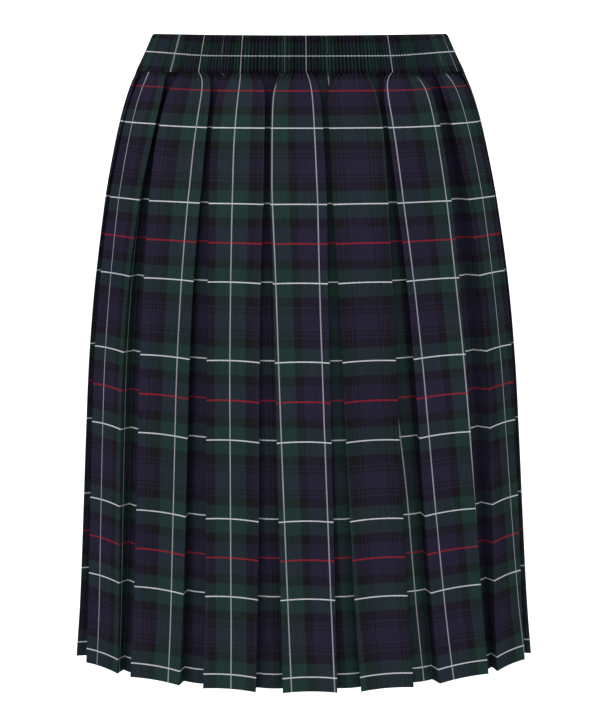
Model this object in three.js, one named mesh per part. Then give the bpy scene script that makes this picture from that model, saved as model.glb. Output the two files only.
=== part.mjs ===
// A box pleat skirt with an elasticated waistband, filled out as if worn, with nobody in it.
// Millimetres, +Z up, front towards -Y. The origin is on the body's axis, half way up the waistband.
// The cloth is a thin wall. Every horizontal section is an ellipse-like line round the body that carries
// sixteen box pleats: a box face between two pressed creases, a return folded in behind each crease, and
// a strip of underlay between two neighbouring boxes.
import * as THREE from 'three';

// Lengths down the skirt, from the top edge of the waistband
const SKIRT_LENGTH = 562;
const BAND_HEIGHT = 33;
const SEAM_GAP = 0.3;

// How the worn skirt sits: the top edge dips at the front and back, the hips lift the cloth at the sides,
// and the hem hangs a little towards the wearer's left
const TOP_DIP = 1.4;
const HIP_LIFT = 7;
const HIP_LIFT_FULL = 420;
const HEM_LEAN = 2.7;

// The cut of one pleat, measured along the cloth
const PLEATS = 16;
const RETURN_CLOTH = 13.5;
const UNDERLAY_CLOTH = 19.5;
const LEAST_GAP = 3.5;

// Walls
const CLOTH_WALL = 1.2;
const BAND_WALL = 2.4;
const BAND_RIBS = 136;
const RIB_HEIGHT = 0.9;

// How far a box face sinks between its creases, and the gathers that the elastic pulls into its top
const BOX_HOLLOW = 3;
const HOLLOW_STARTS = 60;
const HOLLOW_FULL = 240;
const GATHER_DEPTH = 2;
const GATHER_ENDS = 66;
const TOP_DEPTH_SHARE = 0.45;
const DEPTH_FULL = 90;

// Half sizes of the crease line at each height
const SECTIONS = [
  { below: 0, side: 130, front: 96, back: 96 },
  { below: 16, side: 137, front: 102, back: 103 },
  { below: 33, side: 146, front: 108.5, back: 111 },
  { below: 50, side: 153, front: 113.5, back: 118 },
  { below: 77, side: 161, front: 119.5, back: 126 },
  { below: 112, side: 169, front: 125, back: 133 },
  { below: 148, side: 176, front: 129.5, back: 138 },
  { below: 220, side: 186, front: 136, back: 143 },
  { below: 292, side: 192.5, front: 141, back: 147 },
  { below: 365, side: 196.5, front: 144, back: 149 },
  { below: 438, side: 200, front: 146.5, back: 152 },
  { below: 512, side: 204, front: 149, back: 154.5 },
  { below: 562, side: 208, front: 152, back: 157 },
];

// One row a pleat, from the front middle round by the wearer's left side. The three shifts are how far the
// box hangs from its even place at the band, half way down and at the hem, and chord is its width across.
const PLEAT_TABLE = [
  { top: -4, middle: 1, hem: 6, chord: 47.5 },
  { top: -9, middle: -7, hem: 2.5, chord: 48 },
  { top: -11, middle: -6, hem: 6.5, chord: 53.5 },
  { top: 2, middle: 7, hem: -1, chord: 51 },
  { top: 2, middle: 5, hem: 2, chord: 49 },
  { top: -3, middle: 2, hem: 5, chord: 50 },
  { top: 1, middle: -3, hem: 3, chord: 48 },
  { top: -4, middle: 1, hem: 6, chord: 49 },
  { top: 2, middle: 3, hem: 4, chord: 47.5 },
  { top: -3, middle: -2, hem: 2, chord: 50 },
  { top: 3, middle: 4, hem: 7, chord: 49 },
  { top: -1, middle: 2, hem: 3, chord: 51 },
  { top: 4, middle: 2, hem: 8, chord: 50 },
  { top: 8, middle: 3, hem: 13, chord: 50 },
  { top: 5, middle: 8, hem: 7, chord: 51.5 },
  { top: 2, middle: 7, hem: 7, chord: 47.5 },
];

// Mesh density
const ROUND_STEPS = 720;
const BOX_INNER_POINTS = [-2 / 3, -1 / 3, 0, 1 / 3, 2 / 3];
const SKIRT_HEIGHTS = [40, 48, 58, 75, 100, 135, 180, 235, 300, 365, 430, 490, 530];
const BAND_HEIGHTS = [0, 16.5, BAND_HEIGHT];

// The side seams lie hidden in an underlay: after these boxes, and this share of the way across the strip
const LEFT_SEAM_AFTER = 3;
const RIGHT_SEAM_AFTER = 11;
const SEAM_SHARE = 0.25;

const COLOURS = { cloth: 0x232b35, band: 0x1f2a2c };

const leanAt = (below) => (HEM_LEAN * below) / SKIRT_LENGTH;

function smoothStep(from, to, at) {
  const share = Math.min(1, Math.max(0, (at - from) / (to - from)));
  return share * share * (3 - 2 * share);
}

// A column of the section table at any height, on a smooth curve through its rows.
function sectionSize(column, below) {
  const rows = SECTIONS;
  const last = rows.length - 2;
  const found = rows.findIndex((row) => row.below > below) - 1;
  const i = found < 0 ? last : Math.max(0, found);
  const slope = (k) => {
    const lower = rows[Math.max(0, k - 1)];
    const upper = rows[Math.min(rows.length - 1, k + 1)];
    return (upper[column] - lower[column]) / (upper.below - lower.below);
  };
  const span = rows[i + 1].below - rows[i].below;
  const t = (below - rows[i].below) / span;
  return (2 * t ** 3 - 3 * t ** 2 + 1) * rows[i][column]
    + (t ** 3 - 2 * t ** 2 + t) * span * slope(i)
    + (-2 * t ** 3 + 3 * t ** 2) * rows[i + 1][column]
    + (t ** 3 - t ** 2) * span * slope(i + 1);
}

// The crease line at a height: its length round, and the point a length s from the front middle,
// moved out by a distance.
function creaseLine(below) {
  const side = sectionSize('side', below);
  const front = sectionSize('front', below);
  const back = sectionSize('back', below);
  const depthAt = (angle) => (Math.cos(angle) > 0 ? front : back);
  const lengths = [0];
  for (let k = 0; k < ROUND_STEPS; k += 1) {
    const angle = ((k + 0.5) / ROUND_STEPS) * 2 * Math.PI;
    const step = Math.hypot(side * Math.cos(angle), depthAt(angle) * Math.sin(angle));
    lengths.push(lengths[k] + (step * 2 * Math.PI) / ROUND_STEPS);
  }
  const around = lengths[ROUND_STEPS];
  const at = (s, out) => {
    const turned = ((s % around) + around) % around;
    let low = 0;
    let high = ROUND_STEPS;
    while (high - low > 1) {
      const half = Math.floor((low + high) / 2);
      if (lengths[half] <= turned) low = half;
      else high = half;
    }
    const share = (turned - lengths[low]) / (lengths[high] - lengths[low]);
    const angle = ((low + share) / ROUND_STEPS) * 2 * Math.PI;
    const depth = depthAt(angle);
    const normal = new THREE.Vector2(depth * Math.sin(angle), -side * Math.cos(angle)).normalize();
    const crease = new THREE.Vector2(side * Math.sin(angle) + leanAt(below), -depth * Math.cos(angle));
    return crease.addScaledVector(normal, out);
  };
  return { around, at };
}

// The height of a point on a section: the hips lift it towards the sides, and the top edge dips where it
// faces forward or back.
function heightOf(point, below) {
  const sideways = (point.x - leanAt(below)) / sectionSize('side', below);
  const lift = HIP_LIFT * smoothStep(BAND_HEIGHT, HIP_LIFT_FULL, below) * Math.min(1, sideways ** 2);
  const dip = TOP_DIP * Math.max(0, 1 - below / BAND_HEIGHT) * Math.max(0, 1 - sideways ** 2);
  return BAND_HEIGHT / 2 - below + lift - dip;
}

const pleatRow = (index) => PLEAT_TABLE[((index % PLEATS) + PLEATS) % PLEATS];

// Where the middle of a box hangs on a crease line of a given length.
function boxMiddle(index, below, around) {
  const row = pleatRow(index);
  const t = (below - BAND_HEIGHT) / (SKIRT_LENGTH - BAND_HEIGHT);
  const shift = row.top * (1 - t) * (1 - 2 * t) + row.middle * 4 * t * (1 - t) + row.hem * t * (2 * t - 1);
  return (index / PLEATS) * around + shift;
}

// The two creases of a box, which keep a small gap to the neighbouring boxes.
function boxCreases(index, below, around) {
  const middle = boxMiddle(index, below, around);
  const halfRoom = (neighbour) => {
    const room = Math.abs(boxMiddle(neighbour, below, around) - middle);
    return Math.min(pleatRow(index).chord / 2, (room - LEAST_GAP) / 2);
  };
  return { left: middle - halfRoom(index - 1), right: middle + halfRoom(index + 1) };
}

// The section line of one pleat at a height, from its left inner fold to its right inner fold, as pairs of
// the length round the body and the distance out from the crease line.
function pleatSection(index, below, around) {
  const { left, right } = boxCreases(index, below, around);
  const before = boxCreases(index - 1, below, around);
  const after = boxCreases(index + 1, below, around);
  const fold = (gap) => {
    const tuck = (UNDERLAY_CLOTH - gap) / 2;
    const share = TOP_DEPTH_SHARE + (1 - TOP_DEPTH_SHARE) * smoothStep(BAND_HEIGHT, DEPTH_FULL, below);
    return { tuck, depth: share * Math.sqrt(RETURN_CLOTH ** 2 - tuck ** 2) };
  };
  const leftFold = fold(left - before.right);
  const rightFold = fold(after.left - right);
  const hollow = BOX_HOLLOW * smoothStep(HOLLOW_STARTS, HOLLOW_FULL, below);
  const gather = GATHER_DEPTH * (1 - smoothStep(BAND_HEIGHT, GATHER_ENDS, below));
  const face = BOX_INNER_POINTS.map((q, k) => ({
    s: (left + right) / 2 + (q * (right - left)) / 2,
    out: -hollow * (1 - q * q) - (k % 2 === 0 ? gather : 0),
  }));
  return [
    { s: left + leftFold.tuck, out: -leftFold.depth },
    { s: left, out: 0 },
    ...face,
    { s: right, out: 0 },
    { s: right - rightFold.tuck, out: -rightFold.depth },
  ];
}

// A point on the underlay strip between two inner folds, a share of the way across, moved along it.
function underlayPoint(fold, nextFold, share, moved = 0) {
  return {
    s: fold.s + (nextFold.s - fold.s) * share + moved,
    out: fold.out + (nextFold.out - fold.out) * share,
  };
}

// The section line of a panel of several pleats, which starts and ends at a side seam in an underlay.
function panelSection(first, last, below) {
  const line = creaseLine(below);
  const pleats = [];
  for (let index = first - 1; index <= last + 1; index += 1) {
    pleats.push(pleatSection(index, below, line.around));
  }
  const points = [underlayPoint(pleats[0].at(-1), pleats[1][0], SEAM_SHARE, SEAM_GAP / 2)];
  pleats.slice(1, -1).forEach((own, k) => {
    if (k > 0) points.push(underlayPoint(pleats[k].at(-1), own[0], 0.5));
    points.push(...own);
  });
  points.push(underlayPoint(pleats.at(-2).at(-1), pleats.at(-1)[0], SEAM_SHARE, -SEAM_GAP / 2));
  return points.map((point) => line.at(point.s, point.out));
}

// Both faces of a wall round a section line, each moved out from it by its own distance.
function wallFaces(line, outward, inward, closed) {
  const count = line.length;
  const direction = (k) => {
    const from = line[closed ? (k + count) % count : Math.max(0, k)];
    const to = line[closed ? (k + 1) % count : Math.min(count - 1, k + 1)];
    return to.clone().sub(from).normalize();
  };
  const move = (k, distance) => {
    const before = closed || k > 0 ? direction(k - 1) : direction(0);
    const after = closed || k < count - 1 ? direction(k) : direction(count - 2);
    const bisector = before.clone().add(after).normalize();
    const normal = new THREE.Vector2(bisector.y, -bisector.x);
    const stretch = 1 / Math.max(0.35, Math.abs(bisector.dot(after)));
    return line[k].clone().addScaledVector(normal, distance * stretch);
  };
  return {
    outer: line.map((_, k) => move(k, outward)),
    inner: line.map((_, k) => move(k, -inward)),
  };
}

// One closed solid from a stack of wall sections, listed from the top down.
function wallSolid(levels, closed) {
  const count = levels[0].outer.length;
  const positions = [];
  const levelSize = 2 * count;
  for (const level of levels) {
    for (const side of [level.outer, level.inner]) {
      side.forEach((point) => positions.push(point.x, point.y, heightOf(point, level.below)));
    }
  }
  const index = [];
  const quad = (a, b, c, d) => index.push(a, b, c, a, c, d);
  const outer = (level, k) => level * levelSize + (k % count);
  const inner = (level, k) => outer(level, k) + count;
  const steps = closed ? count : count - 1;
  const bottom = levels.length - 1;
  for (let k = 0; k < steps; k += 1) {
    for (let level = 0; level < bottom; level += 1) {
      quad(outer(level, k), outer(level + 1, k), outer(level + 1, k + 1), outer(level, k + 1));
      quad(inner(level, k), inner(level, k + 1), inner(level + 1, k + 1), inner(level + 1, k));
    }
    quad(outer(0, k), outer(0, k + 1), inner(0, k + 1), inner(0, k));
    quad(outer(bottom, k), inner(bottom, k), inner(bottom, k + 1), outer(bottom, k + 1));
  }
  if (!closed) {
    for (let level = 0; level < bottom; level += 1) {
      quad(outer(level, 0), inner(level, 0), inner(level + 1, 0), outer(level + 1, 0));
      quad(outer(level, steps), outer(level + 1, steps), inner(level + 1, steps), inner(level, steps));
    }
  }
  const geometry = new THREE.BufferGeometry();
  geometry.setAttribute('position', new THREE.Float32BufferAttribute(positions, 3));
  geometry.setIndex(index);
  geometry.computeVertexNormals();
  return geometry;
}

function panelGeometry(first, last) {
  const heights = [BAND_HEIGHT + SEAM_GAP, ...SKIRT_HEIGHTS, SKIRT_LENGTH];
  const levels = heights.map((below) => ({
    below,
    ...wallFaces(panelSection(first, last, below), CLOTH_WALL / 2, CLOTH_WALL / 2, false),
  }));
  return wallSolid(levels, false);
}

// The waistband: a casing round the elastic, drawn up into fine upright ribs over a plain inside.
function bandGeometry() {
  const ribPoints = 2 * BAND_RIBS;
  const levels = BAND_HEIGHTS.map((below) => {
    const { around, at } = creaseLine(below);
    const line = Array.from({ length: ribPoints }, (_, k) => at((k / ribPoints) * around, 0));
    const plain = wallFaces(line, 0, BAND_WALL, true);
    const raised = wallFaces(line, RIB_HEIGHT, 0, true);
    const outer = line.map((_, k) => (k % 2 === 0 ? raised : plain).outer[k]);
    return { below, outer, inner: plain.inner };
  });
  return wallSolid(levels, true);
}

function piece(name, geometry, colour) {
  const material = new THREE.MeshStandardMaterial({ color: colour, roughness: 0.85, metalness: 0 });
  const mesh = new THREE.Mesh(geometry, material);
  mesh.name = name;
  return mesh;
}

const skirt = new THREE.Group();
skirt.add(piece('waistband', bandGeometry(), COLOURS.band));
const frontPanel = panelGeometry(RIGHT_SEAM_AFTER + 1 - PLEATS, LEFT_SEAM_AFTER);
skirt.add(piece('skirt_front', frontPanel, COLOURS.cloth));
skirt.add(piece('skirt_back', panelGeometry(LEFT_SEAM_AFTER + 1, RIGHT_SEAM_AFTER), COLOURS.cloth));

export default skirt;
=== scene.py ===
"""A box pleat skirt in a dark green, navy and black tartan, with a gathered elastic waistband.

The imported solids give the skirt's place and size. This script dresses them: two pleated panels of tartan
twill and a ribbed waistband, each a thin shell whose UV map holds the cloth's own width and length in
metres, so that the woven check follows every fold.
"""

import logging
import math
import random
from collections.abc import Iterable
from dataclasses import dataclass, field
from enum import Enum

import bpy
import numpy as np
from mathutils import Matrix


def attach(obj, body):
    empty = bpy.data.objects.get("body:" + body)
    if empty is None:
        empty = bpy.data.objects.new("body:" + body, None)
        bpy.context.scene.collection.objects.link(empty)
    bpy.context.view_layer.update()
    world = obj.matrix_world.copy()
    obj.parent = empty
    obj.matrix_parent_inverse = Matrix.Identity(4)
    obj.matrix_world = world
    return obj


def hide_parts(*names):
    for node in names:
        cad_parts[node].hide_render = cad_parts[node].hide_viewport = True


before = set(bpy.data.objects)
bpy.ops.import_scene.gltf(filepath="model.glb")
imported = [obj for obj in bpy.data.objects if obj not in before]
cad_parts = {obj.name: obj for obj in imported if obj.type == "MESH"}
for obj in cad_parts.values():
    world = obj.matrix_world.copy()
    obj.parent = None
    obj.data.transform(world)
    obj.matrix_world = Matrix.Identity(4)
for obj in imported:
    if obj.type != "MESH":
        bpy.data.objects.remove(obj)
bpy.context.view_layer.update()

log = logging.getLogger("box_pleat_skirt")

# Lengths are in millimetres unless a docstring says metres, and MM turns them into metres
MM = 0.001
PLEATS = 16
SKIRT_LENGTH = 562.0
BAND_HEIGHT = 33.0
SEAM_GAP = 0.3

# Distance below the waistband's top edge, and the cloth's own length there
CLOTH_LENGTHS = (
    (0, -5.6),
    (33, 27.4),
    (39, 32.4),
    (48.5, 46.45),
    (80, 80),
    (144.3, 147.1),
    (278.5, 281.4),
    (347, 348.6),
    (415, 415.7),
    (562, 562),
)

# Distance below the top edge, and how far the cross lines climb there at the very side
SIDE_RISES = ((33, 3.0), (46, 5.0), (82, 3.0), (150, 0.0))
RISE_STARTS = 0.62
RISE_FULL = 1.05

# How strongly a yarn of the ground covers its crossings
GROUND_COVER = 0.5


class Side(Enum):
    """The two panels, by the numbers of their first and last box, counted from the front middle."""

    FRONT = (-4, 3)
    BACK = (4, 11)


class Yarn(Enum):
    """The dyed yarns: linear red, green and blue, and how strongly the yarn covers its crossings."""

    GREEN = (0.0087, 0.0193, 0.0174, GROUND_COVER)
    NAVY = (0.0106, 0.0092, 0.0193, GROUND_COVER)
    BLACK = (0.0064, 0.0056, 0.0067, GROUND_COVER)
    WHITE_WARP = (0.181, 0.181, 0.195, 0.85)
    WHITE_WEFT = (0.33, 0.33, 0.355, 0.88)
    RED = (0.132, 0.0083, 0.0135, 0.84)

    @property
    def colour(self) -> tuple[float, ...]:
        """The yarn's red, green, blue and alpha."""
        return (*self.value[:3], 1.0)

    @property
    def cover(self) -> float:
        """How strongly the yarn covers its crossings."""
        return self.value[3]


def smooth_step(start: float, end: float, at: float) -> float:
    """Returns 0 before start and 1 after end, with a soft rise between them."""
    share = min(1.0, max(0.0, (at - start) / (end - start)))
    return share * share * (3.0 - 2.0 * share)


def cloth_length(below: float) -> float:
    """Returns the cloth's own length at a height, where the gathers take up some of it."""
    return float(np.interp(below, *zip(*CLOTH_LENGTHS)))


def side_rise(below: float, sideways: float) -> float:
    """Returns the length of cloth by which the cross lines climb at a height, this far round to a side."""
    return float(np.interp(below, *zip(*SIDE_RISES))) * smooth_step(RISE_STARTS, RISE_FULL, sideways)


@dataclass(frozen=True)
class Section:
    """Half sizes of the crease line, in millimetres, at a distance below the waistband's top edge."""

    below: float
    side: float
    front: float
    back: float


@dataclass(frozen=True)
class PleatHang:
    """How one box hangs, in millimetres.

    top, middle and hem are its shifts from its even place and chord its width across. top_drift,
    middle_drift and hem_drift say how far the cloth's grain has run off the crease, and underlay_run how
    far it runs across in the underlay that follows the box, from run_starts below the top edge.
    """

    top: float
    middle: float
    hem: float
    chord: float
    top_drift: float
    middle_drift: float
    hem_drift: float
    underlay_run: float = 0.0
    run_starts: float = -200.0


SECTIONS = (
    Section(0, 130, 96, 96),
    Section(16, 137, 102, 103),
    Section(33, 146, 108.5, 111),
    Section(50, 153, 113.5, 118),
    Section(77, 161, 119.5, 126),
    Section(112, 169, 125, 133),
    Section(148, 176, 129.5, 138),
    Section(220, 186, 136, 143),
    Section(292, 192.5, 141, 147),
    Section(365, 196.5, 144, 149),
    Section(438, 200, 146.5, 152),
    Section(512, 204, 149, 154.5),
    Section(562, 208, 152, 157),
)

PLEAT_HANGS = (
    PleatHang(-4, 1, 6, 47.5, -1, 1, 5.5),
    PleatHang(-9, -7, 2.5, 48, -1.5, 1.5, 7, -6, 250),
    PleatHang(-11, -5.5, 7, 54.5, -1, 3.5, 9.5),
    PleatHang(2, 7, -1, 51, -3, 1, 24),
    PleatHang(2, 5, 2, 49, -2, 0, 5),
    PleatHang(-3, 2, 5, 50, 0, 2, 3),
    PleatHang(1, -3, 3, 48, 1, 0, -3),
    PleatHang(-4, 1, 6, 49, 0, 2, 3),
    PleatHang(2, 3, 4, 47.5, -1, 1, 6),
    PleatHang(-3, -2, 2, 50, 1, 3, 4),
    PleatHang(3, 4, 7, 49, 0, -1, -2),
    PleatHang(-1, 2, 3, 51, 1, 2, 2),
    PleatHang(4, 2, 8, 50, 0, 1, 0),
    PleatHang(8, 3, 13, 50, -3, 0, -2, 16),
    PleatHang(5, 8, 7, 51.5, 0.5, -2.7, -1.5, -6),
    PleatHang(2, 7, 7, 47.5, 1.5, 0.3, 5),
)


class CreaseLine:
    """The level line round the body on which the pleats' creases lie, measured by its own length."""

    STEPS = 1440

    def __init__(self, side: float, front: float, back: float, lean: float) -> None:
        """Measures the line.

        Args:
            side: Half its width, in millimetres.
            front: Its depth in front of the axis.
            back: Its depth behind the axis.
            lean: How far its centre lies towards +X.
        """
        self.side, self.front, self.back, self.lean = side, front, back, lean
        step_angle = 2 * math.pi / self.STEPS
        angles = (np.arange(self.STEPS) + 0.5) * step_angle
        steps = np.hypot(side * np.cos(angles), self._depth(angles) * np.sin(angles)) * step_angle
        self.lengths = np.concatenate([[0.0], np.cumsum(steps)])
        self.around = float(self.lengths[-1])

    def _depth(self, angles: np.ndarray) -> np.ndarray:
        """Returns the depth that holds at each angle from the front middle."""
        return np.where(np.cos(angles) > 0, self.front, self.back)

    def at(self, along: np.ndarray, out: np.ndarray) -> np.ndarray:
        """Finds points by their length round the line from the front middle.

        Args:
            along: Lengths towards +X, in millimetres.
            out: How far each point lies outside the line.

        Returns:
            An array of x and y, in millimetres.
        """
        turned = np.mod(along, self.around)
        angles = np.interp(turned, self.lengths, np.arange(self.STEPS + 1)) / self.STEPS * 2 * math.pi
        depth = self._depth(angles)
        normal = np.stack([depth * np.sin(angles), -self.side * np.cos(angles)], -1)
        normal /= np.linalg.norm(normal, axis=-1, keepdims=True)
        line = np.stack([self.side * np.sin(angles) + self.lean, -depth * np.cos(angles)], -1)
        return line + normal * np.asarray(out)[..., None]


@dataclass
class SkirtShape:
    """The filled-out form of the skirt, shared by its pieces. All sizes are in millimetres."""

    sections: tuple[Section, ...] = SECTIONS
    hangs: tuple[PleatHang, ...] = PLEAT_HANGS
    top_dip: float = 1.4
    hip_lift: float = 7.0
    hip_lift_full: float = 420.0
    hem_lean: float = 2.7
    least_gap: float = 4.2
    flat_extra: float = 3.3
    extra_fades_from: float = 60.0
    extra_fades_by: float = 240.0

    def size(self, column: str, below: float) -> float:
        """Reads one column of the section table on a smooth curve through its rows.

        Args:
            column: side, front or back.
            below: Distance below the top edge.

        Returns:
            The half size there.
        """
        rows = self.sections
        last = len(rows) - 2
        i = next((k - 1 for k, row in enumerate(rows) if row.below > below), last)
        i = min(last, max(0, i))

        def slope(k: int) -> float:
            """Returns how fast the column grows at a row."""
            lower, upper = rows[max(0, k - 1)], rows[min(len(rows) - 1, k + 1)]
            return (getattr(upper, column) - getattr(lower, column)) / (upper.below - lower.below)

        span = rows[i + 1].below - rows[i].below
        t = (below - rows[i].below) / span
        return (
            (2 * t**3 - 3 * t**2 + 1) * getattr(rows[i], column)
            + (t**3 - 2 * t**2 + t) * span * slope(i)
            + (3 * t**2 - 2 * t**3) * getattr(rows[i + 1], column)
            + (t**3 - t**2) * span * slope(i + 1)
        )

    def lean(self, below: float) -> float:
        """Returns how far the skirt's centre hangs towards +X."""
        return self.hem_lean * below / SKIRT_LENGTH

    def line(self, below: float) -> CreaseLine:
        """Returns the crease line at a distance below the top edge."""
        return CreaseLine(
            self.size("side", below), self.size("front", below), self.size("back", below), self.lean(below)
        )

    def height(self, points: np.ndarray, below: float) -> np.ndarray:
        """Works out how high the points of one level lie.

        Args:
            points: Their x and y, in millimetres.
            below: The level's distance below the top edge.

        Returns:
            Their z, in millimetres: lifted over the hips, and dipped where the top edge faces front or back.
        """
        sideways = np.minimum(1.0, ((points[:, 0] - self.lean(below)) / self.size("side", below)) ** 2)
        lift = self.hip_lift * smooth_step(BAND_HEIGHT, self.hip_lift_full, below) * sideways
        dip = self.top_dip * max(0.0, 1 - below / BAND_HEIGHT) * (1 - sideways)
        return BAND_HEIGHT / 2 - below + lift - dip

    def hang(self, index: int) -> PleatHang:
        """Returns the row of one box, counted round from the front middle."""
        return self.hangs[index % PLEATS]

    def bend(self, top: float, middle: float, hem: float, below: float) -> float:
        """Returns the value at a height of the smooth bend through three values down the skirt."""
        t = (below - BAND_HEIGHT) / (SKIRT_LENGTH - BAND_HEIGHT)
        return top * (1 - t) * (1 - 2 * t) + middle * 4 * t * (1 - t) + hem * t * (2 * t - 1)

    def middle(self, index: int, below: float, around: float) -> float:
        """Returns where the middle of a box hangs on a line of a given length."""
        row = self.hang(index)
        return index / PLEATS * around + self.bend(row.top, row.middle, row.hem, below)

    def creases(self, index: int, below: float, around: float) -> tuple[float, float]:
        """Returns the left and right crease of a box, which keep a small gap to its neighbours."""
        middle = self.middle(index, below, around)
        extra = self.flat_extra * (1 - smooth_step(self.extra_fades_from, self.extra_fades_by, below))
        half = (self.hang(index).chord + extra) / 2

        def room(neighbour: int) -> float:
            """Returns the half width that the box may have on one neighbour's side."""
            return min(half, (abs(self.middle(neighbour, below, around) - middle) - self.least_gap) / 2)

        return middle - room(index - 1), middle + room(index + 1)


@dataclass(frozen=True)
class Gathers:
    """How the whole width of the cloth is drawn up into the ribs of the waistband.

    marks pair places on the cloth, in millimetres, with numbers of ribs: a rib's crest has a whole number
    and the valley after it a half more.
    """

    cloth_around: float = 1582.4
    front_middle: float = 29.0
    length_around: float = 739.0
    splay: float = 0.02
    ribs: int = 249
    marks: tuple[tuple[float, float], ...] = (
        (-160, 0),
        (-120, 6.44),
        (-80, 13),
        (0, 24.5),
        (40, 31),
        (80, 37.5),
        (160, 49.2),
        (200, 56),
        (320, 74.7),
    )

    def _rows(self) -> np.ndarray:
        """Returns the marks of three turns, cloth and ribs."""
        turn = np.array([self.cloth_around, self.ribs])
        marks = np.array(self.marks)
        return np.concatenate([marks - turn, marks, marks + turn, marks[:1] + 2 * turn])

    def cloth_at(self, rib: np.ndarray) -> np.ndarray:
        """Returns the place on the cloth at a rib number, as if it were drawn up evenly between marks."""
        rows = self._rows()
        return np.interp(rib, rows[:, 1], rows[:, 0])

    def rib_at(self, cloth: np.ndarray) -> np.ndarray:
        """Returns the rib number at a place on the cloth."""
        rows = self._rows()
        return np.interp(cloth, rows[:, 0], rows[:, 1])

    def along(self, cloth: np.ndarray, below: float, around: float) -> np.ndarray:
        """Finds where a place on the cloth lies on the crease line.

        The ribs hang nearly upright at the front and back, and splay out at the sides.

        Args:
            cloth: The place on the cloth, in millimetres.
            below: The height.
            around: The crease line's length there.

        Returns:
            The length round the line from the front middle.
        """
        share = (np.asarray(cloth) - self.front_middle) / self.cloth_around
        middle = np.round(2 * share) / 2
        upright = self.length_around * (1 + self.splay * (below / BAND_HEIGHT * 2 - 1))
        beside = np.minimum(1.0, np.abs(share - middle) * 4) ** 2
        return middle * around + (share - middle) * (upright + (around - upright) * beside)

    def sideways(self, cloth: float) -> float:
        """Returns how far round to a side a place on the cloth lies, from 0 at the front or back to 1."""
        return abs(math.sin(2 * math.pi * (cloth - self.front_middle) / self.cloth_around))


@dataclass(frozen=True)
class Stripe:
    """One stripe of the check's ground: its width in millimetres and its yarn."""

    width: float
    yarn: Yarn


@dataclass(frozen=True)
class Line:
    """A fine line that repeats over the ground: the middle of one, their spacing and their width."""

    middle: float
    spacing: float
    width: float
    yarn: Yarn


@dataclass(frozen=True)
class Grain:
    """A soft variation of brightness: its spots to a metre, across and down, and its factors' range."""

    across: float
    down: float
    low: float
    high: float


def feed(tree: bpy.types.NodeTree, sockets: Iterable[bpy.types.NodeSocket], values: Iterable[object]) -> None:
    """Links or sets inputs of a node.

    Args:
        tree: The material's node tree.
        sockets: The inputs.
        values: For each input, a socket to link or a value to set.
    """
    for socket, value in zip(sockets, values):
        if isinstance(value, bpy.types.NodeSocket):
            tree.links.new(value, socket)
        else:
            socket.default_value = value


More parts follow.
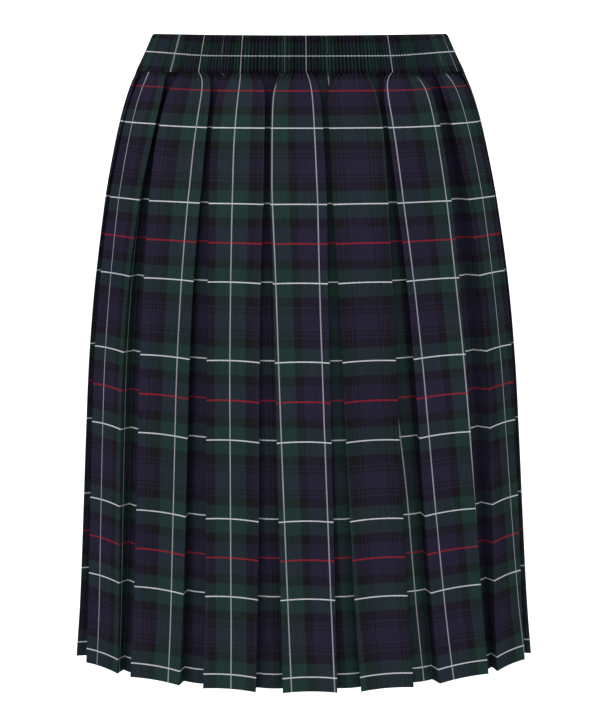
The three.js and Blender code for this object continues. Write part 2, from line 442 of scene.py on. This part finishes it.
@dataclass(frozen=True)
class TartanTwill:
    """The finish of the cloth: a dark traditional check, woven as a twill.

    warp and weft list the ground's stripes over one repeat, in millimetres from the middle of a white line.
    The UV map holds the cloth's own width and length in metres.
    """

    name: str
    line_gain: float = 1.0
    weft_start: float = 12.9
    twill_step: float = 1.68
    ridge_height: float = 0.08
    ridge_strength: float = 0.35
    cover_gain: float = 0.9
    roughness: float = 0.9
    streaks: Grain = Grain(900.0, 40.0, 0.86, 1.12)
    clouds: Grain = Grain(9.0, 5.0, 0.93, 1.07)
    noise_range: tuple[float, float] = (0.3, 0.7)
    warp_lines: tuple[Line, ...] = (
        Line(0.0, 80.0, 1.1, Yarn.WHITE_WARP),
        Line(40.0, 160.0, 1.1, Yarn.WHITE_WARP),
    )
    weft_lines: tuple[Line, ...] = (
        Line(12.9, 67.1, 1.05, Yarn.WHITE_WEFT),
        Line(46.45, 134.2, 1.4, Yarn.RED),
    )
    warp: tuple[Stripe, ...] = (
        Stripe(14.5, Yarn.GREEN),
        Stripe(7.5, Yarn.BLACK),
        Stripe(36.0, Yarn.NAVY),
        Stripe(7.5, Yarn.BLACK),
        Stripe(29.0, Yarn.GREEN),
        Stripe(7.5, Yarn.BLACK),
        Stripe(1.7, Yarn.NAVY),
        Stripe(1.7, Yarn.BLACK),
        Stripe(1.7, Yarn.NAVY),
        Stripe(1.7, Yarn.BLACK),
        Stripe(22.4, Yarn.NAVY),
        Stripe(1.7, Yarn.BLACK),
        Stripe(1.7, Yarn.NAVY),
        Stripe(1.7, Yarn.BLACK),
        Stripe(1.7, Yarn.NAVY),
        Stripe(7.5, Yarn.BLACK),
        Stripe(14.5, Yarn.GREEN),
    )
    weft: tuple[Stripe, ...] = (
        Stripe(11.85, Yarn.GREEN),
        Stripe(8.0, Yarn.BLACK),
        Stripe(27.4, Yarn.NAVY),
        Stripe(8.0, Yarn.BLACK),
        Stripe(23.7, Yarn.GREEN),
        Stripe(8.0, Yarn.BLACK),
        Stripe(1.7, Yarn.NAVY),
        Stripe(1.7, Yarn.BLACK),
        Stripe(1.7, Yarn.NAVY),
        Stripe(1.7, Yarn.BLACK),
        Stripe(13.8, Yarn.NAVY),
        Stripe(1.7, Yarn.BLACK),
        Stripe(1.7, Yarn.NAVY),
        Stripe(1.7, Yarn.BLACK),
        Stripe(1.7, Yarn.NAVY),
        Stripe(8.0, Yarn.BLACK),
        Stripe(11.85, Yarn.GREEN),
    )

    def build(self) -> bpy.types.Material:
        """Makes the node material.

        Returns:
            The new material.
        """
        material = bpy.data.materials.new(self.name)
        material.use_nodes = True
        tree = material.node_tree
        shader = tree.nodes["Principled BSDF"]
        shader.inputs["Roughness"].default_value = self.roughness
        shader.inputs["Specular IOR Level"].default_value = 0.0
        uv = tree.nodes.new("ShaderNodeUVMap")
        uv.uv_map = "cloth"
        split = tree.nodes.new("ShaderNodeSeparateXYZ")
        tree.links.new(uv.outputs["UV"], split.inputs["Vector"])
        across, down = split.outputs["X"], split.outputs["Y"]
        warp, warp_cover = self._yarns(tree, across, self.warp, 0.0, self.warp_lines)
        weft, weft_cover = self._yarns(tree, down, self.weft, self.weft_start, self.weft_lines)
        diagonal = self._math(tree, "ADD", across, down)
        step = self._math(tree, "FRACT", self._math(tree, "DIVIDE", diagonal, self.twill_step * MM))
        lead = self._math(tree, "SUBTRACT", weft_cover, warp_cover)
        weft_share = self._math(tree, "ADD", self._math(tree, "MULTIPLY", lead, self.cover_gain), 0.5)
        on_top = self._math(tree, "LESS_THAN", step, weft_share)
        woven = self._mix(tree, "MIX", on_top, warp, weft)
        streaks = self._grain(tree, uv, self.streaks)
        clouds = self._grain(tree, uv, self.clouds)
        shaded = self._mix(tree, "MULTIPLY", 1.0, woven, self._math(tree, "MULTIPLY", streaks, clouds))
        tree.links.new(shaded, shader.inputs["Base Color"])
        ridge = self._math(tree, "SINE", self._math(tree, "MULTIPLY", step, 2 * math.pi))
        bump = tree.nodes.new("ShaderNodeBump")
        bump.inputs["Strength"].default_value = self.ridge_strength
        bump.inputs["Distance"].default_value = self.ridge_height * MM
        tree.links.new(ridge, bump.inputs["Height"])
        tree.links.new(bump.outputs["Normal"], shader.inputs["Normal"])
        return material

    @staticmethod
    def _math(tree: bpy.types.NodeTree, operation: str, *values: object) -> bpy.types.NodeSocket:
        """Adds a Math node.

        Args:
            tree: The material's node tree.
            operation: What it works out.
            values: Its inputs, each a socket or a number.

        Returns:
            Its output.
        """
        node = tree.nodes.new("ShaderNodeMath")
        node.operation = operation
        feed(tree, node.inputs, values)
        return node.outputs[0]

    @staticmethod
    def _mix(tree: bpy.types.NodeTree, blend: str, *values: object) -> bpy.types.NodeSocket:
        """Adds a colour Mix node.

        Args:
            tree: The material's node tree.
            blend: How it mixes.
            values: Its factor and two colours, each a socket or a value.

        Returns:
            Its output.
        """
        node = tree.nodes.new("ShaderNodeMix")
        node.data_type = "RGBA"
        node.blend_type = blend
        feed(tree, (node.inputs[0], node.inputs[6], node.inputs[7]), values)
        return node.outputs[2]

    def _yarns(
        self,
        tree: bpy.types.NodeTree,
        place: bpy.types.NodeSocket,
        stripes: tuple[Stripe, ...],
        start: float,
        lines: tuple[Line, ...],
    ) -> tuple[bpy.types.NodeSocket, bpy.types.NodeSocket]:
        """Adds the threads of one direction.

        Args:
            tree: The material's node tree.
            place: The cloth's width or length, in metres.
            stripes: The ground's stripes over one repeat.
            start: Where a repeat starts, in millimetres.
            lines: The fine lines over the ground.

        Returns:
            The threads' colour, and how strongly they cover their crossings.
        """
        repeat = sum(stripe.width for stripe in stripes)
        shifted = self._math(tree, "SUBTRACT", place, start * MM)
        share = self._math(tree, "FRACT", self._math(tree, "DIVIDE", shifted, repeat * MM))
        ramp = tree.nodes.new("ShaderNodeValToRGB")
        ramp.color_ramp.interpolation = "CONSTANT"
        elements = ramp.color_ramp.elements
        elements.remove(elements[1])
        edge = 0.0
        for k, stripe in enumerate(stripes):
            element = elements[0] if k == 0 else elements.new(edge / repeat)
            element.color = stripe.yarn.colour
            edge += stripe.width
        tree.links.new(share, ramp.inputs["Fac"])
        colour, cover = ramp.outputs["Color"], GROUND_COVER
        for line in lines:
            from_edge = self._math(tree, "SUBTRACT", place, (line.middle - line.spacing / 2) * MM)
            turn = self._math(tree, "FRACT", self._math(tree, "DIVIDE", from_edge, line.spacing * MM))
            off = self._math(tree, "ABSOLUTE", self._math(tree, "SUBTRACT", turn, 0.5))
            half_share = line.width * self.line_gain / 2 / line.spacing
            on_line = self._math(tree, "LESS_THAN", off, half_share)
            colour = self._mix(tree, "MIX", on_line, colour, line.yarn.colour)
            extra = self._math(tree, "MULTIPLY", on_line, line.yarn.cover - GROUND_COVER)
            cover = self._math(tree, "ADD", extra, cover)
        return colour, cover

    def _grain(self, tree: bpy.types.NodeTree, uv: bpy.types.Node, grain: Grain) -> bpy.types.NodeSocket:
        """Adds a soft variation of the cloth's brightness.

        Args:
            tree: The material's node tree.
            uv: The node that gives the cloth's own coordinates.
            grain: The size of its spots and how much they vary.

        Returns:
            The factor.
        """
        mapping = tree.nodes.new("ShaderNodeMapping")
        mapping.inputs["Scale"].default_value = (grain.across, grain.down, 1.0)
        noise = tree.nodes.new("ShaderNodeTexNoise")
        noise.inputs["Scale"].default_value = 1.0
        noise.inputs["Detail"].default_value = 2.0
        spread = tree.nodes.new("ShaderNodeMapRange")
        spread.inputs["From Min"].default_value = self.noise_range[0]
        spread.inputs["From Max"].default_value = self.noise_range[1]
        spread.inputs["To Min"].default_value = grain.low
        spread.inputs["To Max"].default_value = grain.high
        tree.links.new(uv.outputs["UV"], mapping.inputs["Vector"])
        tree.links.new(mapping.outputs["Vector"], noise.inputs["Vector"])
        tree.links.new(noise.outputs["Fac"], spread.inputs["Value"])
        return spread.outputs["Result"]


def cloth_object(
    name: str, points: np.ndarray, cloth: np.ndarray, ring: bool, material: bpy.types.Material
) -> bpy.types.Object:
    """Makes a cloth mesh from a grid of points.

    Args:
        name: The piece's name.
        points: Rows of points, in millimetres, each row running to the wearer's left round the front.
        cloth: For each point, the cloth's own width and length there, in millimetres.
        ring: True where each row closes on itself.
        material: Its finish.

    Returns:
        The new object, at the origin, with its faces pointing out.
    """
    rows, columns = points.shape[:2]
    across = columns if ring else columns - 1
    faces, corners = [], []
    for row in range(rows - 1):
        for column in range(across):
            quad = ((row, column), (row + 1, column), (row + 1, column + 1), (row, column + 1))
            faces.append([at_row * columns + at_column % columns for at_row, at_column in quad])
            corners.extend(quad)
    mesh = bpy.data.meshes.new(name)
    mesh.from_pydata((points.reshape(-1, 3) * MM).tolist(), [], faces)
    layer = mesh.uv_layers.new(name="cloth")
    wrapped = cloth[0, -1, 0] + (cloth[0, -1, 0] - cloth[0, 0, 0]) / (columns - 1)
    values = np.empty((len(corners), 2))
    for corner, (row, column) in enumerate(corners):
        width = cloth[row, column, 0] if column < columns else wrapped
        values[corner] = width * MM, cloth[row, column % columns, 1] * MM
    layer.data.foreach_set("uv", values.ravel())
    mesh.polygons.foreach_set("use_smooth", [True] * len(faces))
    mesh.materials.append(material)
    piece = bpy.data.objects.new(name, mesh)
    bpy.context.scene.collection.objects.link(piece)
    return piece


def apply_modifier(piece: bpy.types.Object, kind: str, **settings: object) -> None:
    """Adds a modifier to a piece and applies it.

    Args:
        piece: The piece.
        kind: Blender's name for the kind of modifier.
        settings: The modifier's values.
    """
    bpy.ops.object.select_all(action="DESELECT")
    piece.select_set(True)
    bpy.context.view_layer.objects.active = piece
    modifier = piece.modifiers.new(kind.title(), kind)
    for key, value in settings.items():
        setattr(modifier, key, value)
    bpy.ops.object.modifier_apply(modifier=modifier.name)


@dataclass
class PleatedPanel:
    """The front or the back: eight box pleats that open out of the gathers under the waistband.

    A column of the mesh is one place on the cloth. cell is the cloth that one pleat takes: its box, two
    returns and the underlay. All sizes are in millimetres.
    """

    side: Side
    shape: SkirtShape
    gathers: Gathers
    box: float = 51.0
    fold_in: float = 9.5
    underlay: float = 28.5
    cell_on_grain: float = 98.9
    first_grain: float = -2.9
    seam_share: float = 0.25
    seam_columns: tuple[float, ...] = (0.35, 0.45, 0.55, 0.65, 0.75, 0.85, 0.95)
    fold_columns: tuple[float, float] = (0.7, 2.0)
    column_counts: tuple[int, ...] = (7, 40, 7, 12)
    top_rows: int = 18
    top_row_step: float = 1.5
    top_row_growth: float = 0.05
    even_rows: int = 42
    even_rows_end: float = 24.0
    hem_rows: tuple[float, ...] = (17.0, 9.0, 1.0, 0.3, 0.0)
    hollow: float = 2.5
    hollow_starts: float = 60.0
    hollow_full: float = 240.0
    least_depth: float = 6.5
    open_depth: float = 6.0
    open_starts: float = 34.0
    open_full: float = 64.0
    bulge: float = 3.0
    bulge_starts: float = 90.0
    bulge_full: float = 260.0
    crease_round: float = 0.5
    corner_droop: float = 1.1
    droop_full: float = 400.0
    run_length: float = 170.0
    gathers_run_out: float = 7.5
    gather_depth: float = 3.2
    gathers_per_pleat: int = 6
    gather_shift: float = 1.7
    shift_turn: float = 2.4
    notch: float = 8.0
    notch_share: float = 0.12
    notch_run_in: float = 3.0
    rib_depth: float = 6.6
    rib_profile: float = 1.3
    ribs_run_out: float = 9.0
    cloth_thickness: float = 0.55
    turn_up: float = 20.0
    turn_up_inset: float = 1.3
    columns: list[tuple[int, float]] = field(default_factory=list)

    @property
    def name(self) -> str:
        """The piece's name."""
        return f"{self.side.name.lower()}_cloth"

    @property
    def node(self) -> str:
        """The solid that the piece stands for."""
        return f"skirt_{self.side.name.lower()}"

    @property
    def cell(self) -> float:
        """The cloth that one pleat takes."""
        return self.box + 2 * self.fold_in + self.underlay

    def _places(self) -> list[float]:
        """Returns the places of one cell's columns, from its left inner fold, close together at the folds."""
        folds = (-self.fold_in, 0.0, self.box, self.box + self.fold_in, self.cell - self.fold_in)
        near, beside = self.fold_columns
        places = []
        for start, end, count in zip(folds, folds[1:], self.column_counts):
            inner = np.linspace(start + beside, end - beside, count + 1)[1:-1]
            places.extend([start, start + near, start + beside, *inner, end - beside, end - near])
        return places

    def _lay_out_columns(self) -> None:
        """Lists the columns from one side seam to the other."""
        first, last = self.side.value
        seam = self.box + self.fold_in + self.seam_share * self.underlay
        self.columns = [(first - 1, seam)]
        for share in self.seam_columns:
            self.columns.append((first - 1, self.box + self.fold_in + self.underlay * share))
        for index in range(first, last + 1):
            self.columns.extend((index, place) for place in self._places())
        self.columns = [column for column in self.columns if column <= (last, seam - 0.5)]
        self.columns.append((last, seam))

    def _rows(self) -> list[float]:
        """Returns the heights of the rows, closer together under the waistband and at the hem."""
        top = BAND_HEIGHT + SEAM_GAP
        rows = [top + self.top_row_step * k + self.top_row_growth * k * k for k in range(self.top_rows)]
        rows.extend(np.linspace(rows[-1], SKIRT_LENGTH - self.even_rows_end, self.even_rows)[1:])
        return [*rows, *(SKIRT_LENGTH - above for above in self.hem_rows)]

    def _grain(self, index: int, place: float, below: float) -> float:
        """Returns which warp thread lies at a place of a cell, as its distance across the cloth."""

        def crease(number: int) -> float:
            """Returns the thread that lies on the left crease of a box."""
            row = self.shape.hang(number)
            drift = self.shape.bend(row.top_drift, row.middle_drift, row.hem_drift, below)
            return self.first_grain + number * self.cell_on_grain - drift

        if place < 0:
            return self._grain(index - 1, place + self.cell, below)
        if place <= self.box:
            return crease(index) + place
        start = crease(index) + self.box
        t = (place - self.box) / (self.cell - self.box)
        row = self.shape.hang(index)
        run = row.underlay_run * smooth_step(row.run_starts, row.run_starts + self.run_length, below)
        return start + t * (crease(index + 1) - start) + run * 4 * t * (1 - t)

    def _cloth_at(self, index: int, place: float, below: float) -> tuple[float, float]:
        """Returns the cloth's own width and length at a place of a cell."""
        sideways = self.gathers.sideways(self._grain(index, place, BAND_HEIGHT))
        return self._grain(index, place, below), cloth_length(below) + side_rise(below, sideways)

    def _pleated(self, index: int, place: float, below: float, around: float) -> tuple[float, float]:
        """Finds a place of the pressed pleats.

        Args:
            index: The box's number.
            place: The place in its cell, 0 at its left crease.
            below: The height.
            around: The length of the crease line.

        Returns:
            Its length round the crease line, and how far it lies outside it.
        """
        if place < -self.fold_in:
            return self._pleated(index - 1, place + self.cell, below, around)
        left, right = self.shape.creases(index, below, around)
        if 0 <= place <= self.box:
            q = 2 * place / self.box - 1
            hollow = self.hollow * smooth_step(self.hollow_starts, self.hollow_full, below)
            return (left + right) / 2 + q * (right - left) / 2, -hollow * (1 - q * q)
        neighbour = index - 1 if place < 0 else index + 1
        gap_end = self.shape.creases(neighbour, below, around)[1 if place < 0 else 0]
        gap = left - gap_end if place < 0 else gap_end - right
        bulge = self.bulge * smooth_step(self.bulge_starts, self.bulge_full, below)
        # A shallow arc is longer than its span by 8/3 of its bulge squared, over its length
        tuck = (self.underlay - 8 / 3 * bulge**2 / self.underlay - gap) / 2
        depth = math.sqrt(max(self.least_depth**2, self.fold_in**2 - tuck**2))
        depth += self.open_depth * smooth_step(self.open_starts, self.open_full, below)
        if place < 0:
            t = -place / self.fold_in
            return left + tuck * t, -depth * t
        t = (place - self.box) / self.fold_in
        if t <= 1:
            return right - tuck * t, -depth * t
        other = self._pleated(index + 1, -self.fold_in, below, around)
        t = (place - self.box - self.fold_in) / self.underlay
        start = right - tuck
        return start + (other[0] - start) * t, -depth + (other[1] + depth) * t + bulge * 4 * t * (1 - t)

    def _gathered(self, index: int, place: float, below: float, around: float) -> tuple[float, float]:
        """Finds a place where the cloth is still drawn up evenly, just under the waistband.

        Args:
            index: The box's number.
            place: The place in its cell.
            below: The height.
            around: The length of the crease line.

        Returns:
            Its length round the crease line, and how far it lies outside it.
        """
        turn = (place - self.box / 2) / self.cell
        shift = self.gather_shift * math.sin(index * self.shift_turn)
        wave = math.cos(2 * math.pi * self.gathers_per_pleat * turn + shift)
        cloth = self._grain(index, place, BAND_HEIGHT)
        rib = float(self.gathers.rib_at(cloth))
        fade = math.exp(-(below - BAND_HEIGHT) / self.ribs_run_out)
        fine = self.rib_depth * fade * (2 * abs(rib - round(rib))) ** self.rib_profile
        notch = self.notch * math.exp(-(((abs(turn) - 0.5) / self.notch_share) ** 2))
        notch *= 1 - math.exp(-(below - BAND_HEIGHT) / self.notch_run_in)
        soft = (1 - fade) * self.gather_depth * (1 - wave) / 2 + notch
        return float(self.gathers.along(cloth, below, around)), -fine - soft

    def _row_points(self, below: float) -> np.ndarray:
        """Returns the points of one row, in millimetres, before any turn-up."""
        line = self.shape.line(below)
        pressed = 1 - math.exp(-(below - BAND_HEIGHT) / self.gathers_run_out)
        along, out, droop = [], [], []
        for index, place in self.columns:
            near = [
                self._pleated(index, place + shift, below, line.around)
                for shift in (-self.crease_round, 0.0, self.crease_round)
            ]
            pleat = [sum(values) / 3 for values in zip(*near)]
            gather = self._gathered(index, place, below, line.around)
            along.append(gather[0] + (pleat[0] - gather[0]) * pressed)
            out.append(gather[1] + (pleat[1] - gather[1]) * pressed)
            q = 2 * place / self.box - 1
            droop.append(self.corner_droop * min(1.0, q * q) * max(0.0, 1 - max(0.0, abs(q) - 1) * 2))
        flat = line.at(np.array(along), np.array(out))
        drop = np.array(droop) * smooth_step(BAND_HEIGHT, self.droop_full, below)
        return np.column_stack([flat, self.shape.height(flat, below) - drop])

    def _turned_up(self, row: np.ndarray, inset: float, rise: float) -> np.ndarray:
        """Works out a row of the hem's turn-up.

        Args:
            row: The outer cloth's points at that height or at the hem's edge.
            inset: How far inside them it lies.
            rise: How far above them it lies.

        Returns:
            The row's points, in millimetres.
        """
        along = np.gradient(row[:, :2], axis=0)
        along /= np.linalg.norm(along, axis=1, keepdims=True)
        inward = np.column_stack([-along[:, 1], along[:, 0], np.zeros(len(row))])
        return row + inward * inset + np.array([0.0, 0.0, rise])

    def build(self, material: bpy.types.Material) -> bpy.types.Object:
        """Builds the panel.

        Args:
            material: The cloth's finish.

        Returns:
            The finished piece.
        """
        self._lay_out_columns()
        heights = self._rows()
        points = [self._row_points(below) for below in heights]
        cloth = [[self._cloth_at(*column, below) for column in self.columns] for below in heights]
        hem_cloth = cloth[-1]
        # Each row of the turn-up: its share of the inset, its own lift, and its height above the hem
        folded = [(0.35, -0.25, 0.0), (1.0, 0.1, 0.0)]
        folded.extend((1.0, 0.2, rise) for rise in np.linspace(1.0, self.turn_up, 5))
        for share, lift, rise in folded:
            source = self._row_points(SKIRT_LENGTH - rise)
            points.append(self._turned_up(source, self.turn_up_inset * share, lift))
            cloth.append([(across, down + rise + share) for across, down in hem_cloth])
        piece = cloth_object(self.name, np.array(points), np.array(cloth), False, material)
        apply_modifier(piece, "SOLIDIFY", thickness=self.cloth_thickness * MM, offset=-1.0)
        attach(piece, "root")
        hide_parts(self.node)
        width = (self.side.value[1] - self.side.value[0] + 1) * self.cell
        length = SKIRT_LENGTH - BAND_HEIGHT + self.turn_up
        log.info("%s: %d faces, cut %.0f by %.0f mm", piece.name, len(piece.data.polygons), width, length)
        return piece


@dataclass
class Waistband:
    """The casing round the elastic: the same cloth, drawn up to half its width in fine upright ribs."""

    shape: SkirtShape
    gathers: Gathers
    points_to_a_rib: int = 8
    crest: float = 0.9
    rib_depth: float = 4.9
    rib_profile: float = 1.4
    foot_deepens: float = 0.3
    foot_starts: float = 14.0
    side_depth_share: float = 0.5
    side_starts: float = 0.75
    side_full: float = 0.97
    depth_range: tuple[float, float] = (0.8, 1.12)
    wander: float = 0.2
    wander_length: float = 4.0
    wall: float = 3.9
    seed: int = 7

    def _profile(self) -> list[tuple[float, float, float, float]]:
        """Returns the rows of the casing: distance below the top edge, inset, share of rib and length."""
        outside = (33.0, 32.0, 30.0, 27.0, 24.0, 21.0, 18.0, 15.0, 12.0, 9.0, 6.0, 3.5)
        top = [(1.8, 0.15, 0.95), (0.7, 0.7, 0.8), (0.15, 1.4, 0.7), (0.3, 2.3, 0.65), (1.2, 3.1, 0.6)]
        inner = [(below, self.wall, 0.6) for below in (3.0, 8.0, 14.0, 20.0, 26.0, 31.0)]
        foot = [(32.6, self.wall - 0.4, 0.6), (32.7, 2.2, 0.8), (32.7, 0.5, 1.0)]
        rows = [(below, 0.0, 1.0, cloth_length(below)) for below in outside]
        for below, inset, share in [*top, *inner, *foot]:
            step = math.hypot(below - rows[-1][0], inset - rows[-1][1])
            rows.append((below, inset, share, rows[-1][3] - step))
        return rows

    def _cloth(self, rib: np.ndarray) -> np.ndarray:
        """Returns the place on the cloth at each rib number, counting what goes in and out of the valleys."""
        steps = np.linspace(0.0, 1.0, self.points_to_a_rib // 2 + 1)
        half_pitch = self.gathers.length_around / self.gathers.ribs / 2
        lengths = np.hypot(half_pitch * np.diff(steps), self.rib_depth * np.diff(steps**self.rib_profile))
        run = np.concatenate([[0.0], np.cumsum(lengths)]) / lengths.sum()
        crest = np.round(rib)
        off = rib - crest
        start, end = self.gathers.cloth_at(crest), self.gathers.cloth_at(crest + np.sign(off))
        return start + (end - start) / 2 * np.interp(2 * np.abs(off), steps, run)

    def build(self, material: bpy.types.Material) -> bpy.types.Object:
        """Builds the casing.

        Args:
            material: The cloth's finish.

        Returns:
            The finished piece.
        """
        draw = random.Random(self.seed)
        ribs = self.gathers.ribs
        rib = np.arange(ribs * self.points_to_a_rib) / self.points_to_a_rib
        cloth_across = self._cloth(rib)
        even = self.gathers.cloth_at(rib)
        valley = 2 * np.abs(rib - np.round(rib))
        number = np.floor(rib).astype(int)
        depth = np.array([draw.uniform(*self.depth_range) for _ in range(ribs)])[number]
        phase = np.array([draw.uniform(0, 2 * math.pi) for _ in range(ribs)])[number]
        sideways = [self.gathers.sideways(place) for place in even]
        calmer = np.array([smooth_step(self.side_starts, self.side_full, place) for place in sideways])
        fade = 1 - (1 - self.side_depth_share) * calmer
        rise = np.array([side_rise(BAND_HEIGHT, place) for place in sideways])
        points, cloth = [], []
        for below, inset, rib_share, length in self._profile():
            line = self.shape.line(below)
            sway = self.wander * valley * np.sin(below / self.wander_length + phase)
            along = self.gathers.along(even, below, line.around) + sway
            foot = smooth_step(self.foot_starts, BAND_HEIGHT, below)
            deep = self.rib_depth * rib_share * (1 + self.foot_deepens * foot)
            out = self.crest * (1 - foot) - inset - deep * fade * depth * valley**self.rib_profile
            flat = line.at(along, out)
            points.append(np.column_stack([flat, self.shape.height(flat, below)]))
            cloth.append(np.column_stack([cloth_across, length + rise]))
        piece = cloth_object("waistband_cloth", np.array(points)[::-1], np.array(cloth)[::-1], True, material)
        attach(piece, "root")
        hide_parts("waistband")
        profile = self._profile()
        cut = profile[0][3] - min(row[3] for row in profile)
        log.info("%s: %d faces, %d ribs, cut %.0f mm high", piece.name, len(piece.data.polygons), ribs, cut)
        return piece


@dataclass
class Studio:
    """The plain pale floor, the soft light and the camera. Sizes are in metres and angles in degrees."""

    floor_below_hem: float = 0.42
    floor_half: float = 15.0
    floor_grey: float = 0.78
    floor_roughness: float = 0.9
    floor_shine: float = 0.1
    surround: float = 1.68
    lamp_size: float = 1.2
    lamp_energy: float = 6.5
    lamp_spread: float = 80.0
    lamp_place: tuple[float, float, float] = (-0.45, -1.9, 1.35)
    lamp_angles: tuple[float, float, float] = (51.6, 0.0, -13.3)
    camera_distance: float = 2.6
    camera_pitch: float = 6.41
    lens: float = 145.3

    def build(self) -> None:
        """Makes the floor, the light and the camera."""
        self._floor()
        self._light()
        self._camera()

    def _floor(self) -> None:
        """Adds the floor."""
        low = (BAND_HEIGHT / 2 - SKIRT_LENGTH) * MM - self.floor_below_hem
        bpy.ops.mesh.primitive_plane_add(size=2 * self.floor_half, location=(0, 0, low))
        floor = bpy.context.object
        floor.name = "floor"
        material = bpy.data.materials.new("pale_floor")
        material.use_nodes = True
        shader = material.node_tree.nodes["Principled BSDF"]
        shader.inputs["Base Color"].default_value = (self.floor_grey, self.floor_grey, self.floor_grey, 1)
        shader.inputs["Roughness"].default_value = self.floor_roughness
        shader.inputs["Specular IOR Level"].default_value = self.floor_shine
        floor.data.materials.append(material)

    def _light(self) -> None:
        """Adds an even white surround and one soft light in front, above and to the left."""
        scene = bpy.context.scene
        world = bpy.data.worlds.new("surround")
        world.use_nodes = True
        background = world.node_tree.nodes["Background"]
        background.inputs["Color"].default_value = (1, 1, 1, 1)
        background.inputs["Strength"].default_value = self.surround
        scene.world = world
        scene.view_settings.view_transform = "Standard"
        lamp = bpy.data.lights.new("front_softbox", "AREA")
        lamp.shape = "RECTANGLE"
        lamp.size = self.lamp_size
        lamp.size_y = self.lamp_size
        lamp.energy = self.lamp_energy
        lamp.spread = math.radians(self.lamp_spread)
        holder = bpy.data.objects.new("front_softbox", lamp)
        holder.location = self.lamp_place
        holder.rotation_euler = [math.radians(angle) for angle in self.lamp_angles]
        scene.collection.objects.link(holder)

    def _camera(self) -> None:
        """Adds the camera, level with the waist's top edge and looking a little down."""
        camera = bpy.data.cameras.new("camera")
        camera.lens = self.lens
        camera.sensor_width = 36.0
        camera.clip_end = 100.0
        holder = bpy.data.objects.new("camera", camera)
        holder.location = (0.0, -self.camera_distance, BAND_HEIGHT / 2 * MM)
        holder.rotation_euler = (math.radians(90 - self.camera_pitch), 0, 0)
        bpy.context.scene.collection.objects.link(holder)
        bpy.context.scene.camera = holder


def main() -> None:
    """Dresses the solids and sets up the picture."""
    logging.basicConfig(level=logging.INFO, format="%(message)s")
    shape, gathers = SkirtShape(), Gathers()
    cloth = TartanTwill("tartan_twill").build()
    band_cloth = TartanTwill("gathered_twill", line_gain=0.9).build()
    for side in Side:
        PleatedPanel(side, shape, gathers).build(cloth)
    Waistband(shape, gathers).build(band_cloth)
    Studio().build()


if __name__ == "__main__":
    main()
